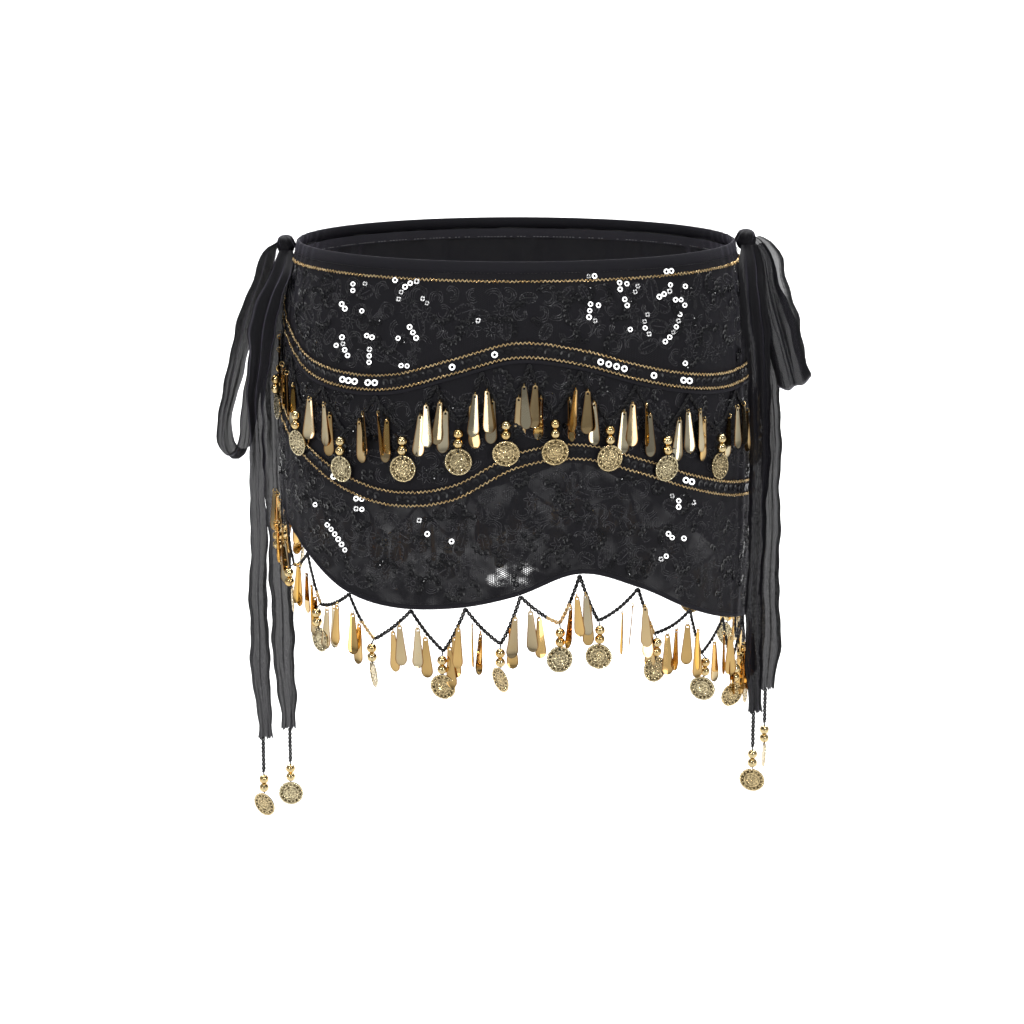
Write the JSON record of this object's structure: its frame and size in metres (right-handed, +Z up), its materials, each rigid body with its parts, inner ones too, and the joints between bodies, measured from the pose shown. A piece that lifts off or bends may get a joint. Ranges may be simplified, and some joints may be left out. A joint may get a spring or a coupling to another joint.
{
  "type": "belly dance hip skirt",
  "caption": "Short black belly dance hip skirt worn round the hips, with a slanting hem, beaded bands, zigzag fringes of bead strings with coins and mirror drops, and side ties.",
  "frame": {"origin": "middle of the waist opening, at half the height of the waistband", "axes": "+X towards the wearer's left hip, which is on the right in a front view, +Y from the front to the back, +Z up"},
  "size_m": [0.4226, 0.2568, 0.4366],
  "materials": {
    "black_cloth": "matte",
    "sheer_cloth": "matte",
    "binding": "matte",
    "ribbon": "matte",
    "bead_band": "beaded",
    "gold": "polished"
  },
  "bodies": {
    "root": {"front_upper": "black_cloth", "front_middle": "black_cloth", "front_lower": "sheer_cloth", "back_upper": "black_cloth", "back_middle": "black_cloth", "back_lower": "sheer_cloth", "waistband_front": "binding", "waistband_back": "binding", "upper_band_front": "bead_band", "upper_band_back": "bead_band", "lower_band_front": "bead_band", "lower_band_back": "bead_band", "lining_back": "binding", "fringe_upper_front": "gold", "fringe_upper_back": "gold", "fringe_lower_front": "gold", "fringe_lower_back": "gold", "knot_left": "ribbon", "knot_right": "ribbon", "bow_loop_left": "ribbon", "bow_loop_right": "ribbon", "tail_left_outer": "ribbon", "tail_left_inner": "ribbon", "tail_right_inner": "ribbon", "tail_right_outer": "ribbon", "drop_left_outer": "gold", "drop_left_inner": "gold", "drop_right_inner": "gold", "drop_right_outer": "gold"}
  },
  "joints": []
}
